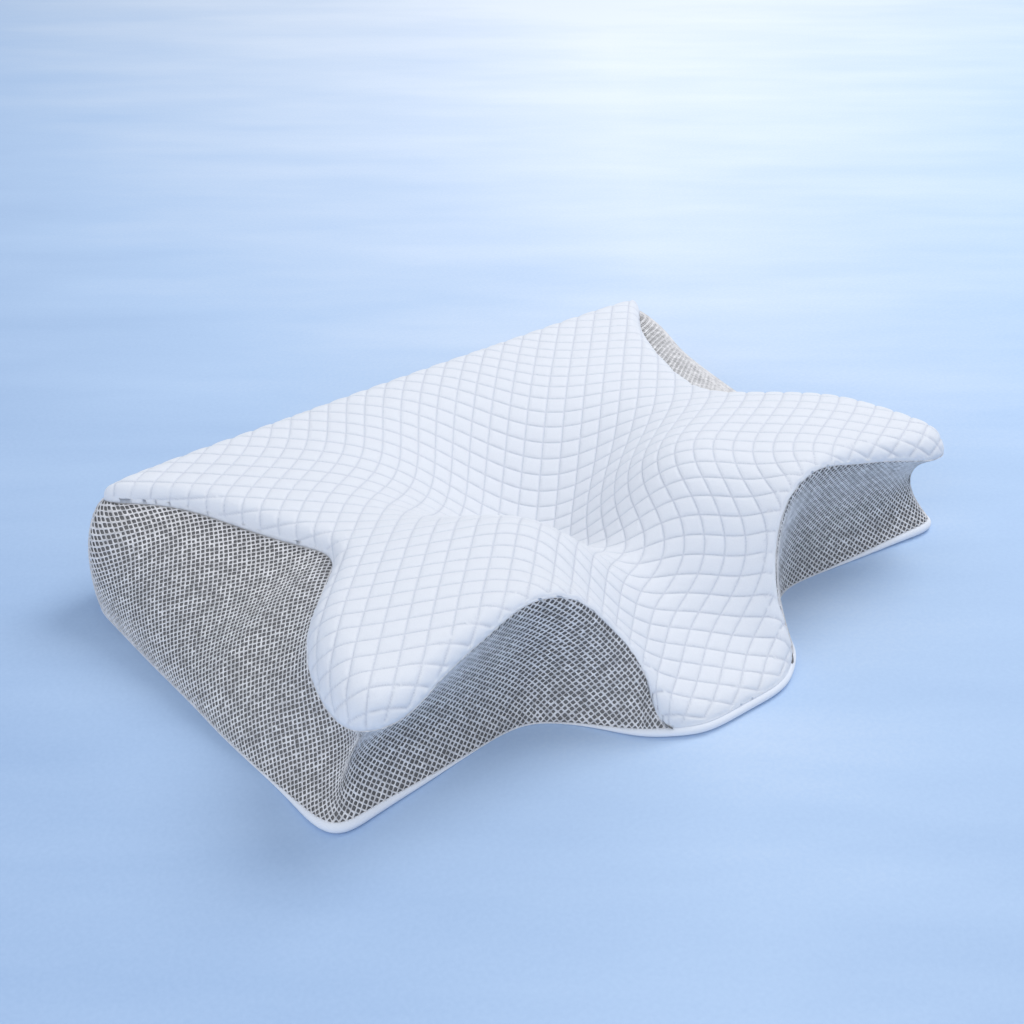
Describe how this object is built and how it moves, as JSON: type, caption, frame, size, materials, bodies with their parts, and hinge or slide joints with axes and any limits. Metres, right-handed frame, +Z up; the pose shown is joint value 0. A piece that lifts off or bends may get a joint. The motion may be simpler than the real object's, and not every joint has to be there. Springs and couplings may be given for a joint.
{
  "type": "cervical contour pillow",
  "caption": "Butterfly-shaped contour pillow for neck support, with a head hollow, wings, a front tongue and a zipped cover over a foam core.",
  "frame": {"origin": "middle of the pillow's outer box in plan, on the flat underside", "axes": "+X to the sleeper's left along the long side, +Y from the front tongue to the back edge with the zip, +Z up"},
  "size_m": [0.609, 0.4329, 0.1214],
  "materials": {
    "white_knit": "quilted knit, matte",
    "grey_mesh": "open warp-knit mesh, matte",
    "base_knit": "smooth knit, matte",
    "liner_jersey": "fine jersey, matte",
    "memory_foam": "open-cell foam skin, matte",
    "zip_tape": "woven tape, matte",
    "zip_coil": "moulded nylon, satin",
    "zip_zinc": "die-cast zinc, satin",
    "label_satin": "satin weave, blank"
  },
  "bodies": {
    "cover": {"foam_core": "memory_foam", "inner_liner": "liner_jersey", "top_panel": "white_knit", "bottom_panel": "base_knit", "left_side_panel": "grey_mesh", "right_side_panel": "grey_mesh", "back_panel_upper": "grey_mesh", "back_panel_lower": "grey_mesh", "zipper_tape_upper": "zip_tape", "zipper_tape_lower": "zip_tape", "zipper_coil_upper": "zip_coil", "zipper_coil_lower": "zip_coil", "zipper_stop_left": "zip_zinc", "zipper_stop_right": "zip_zinc", "care_label": "label_satin"},
    "slider": {"zipper_slider": "zip_zinc"},
    "pull": {"zipper_pull": "zip_zinc"}
  },
  "joints": [
    {"name": "zip_slide", "type": "slide", "parent": "cover", "child": "slider", "axis": [1, 0, 0], "range_m": [-0.41, 0]},
    {"name": "pull_hinge", "type": "hinge", "parent": "slider", "child": "pull", "pos_m": [0.205, 0.21365, 0.05398], "axis": [0, -0.0878, 0.9961], "range_deg": [-150, 0]}
  ]
}
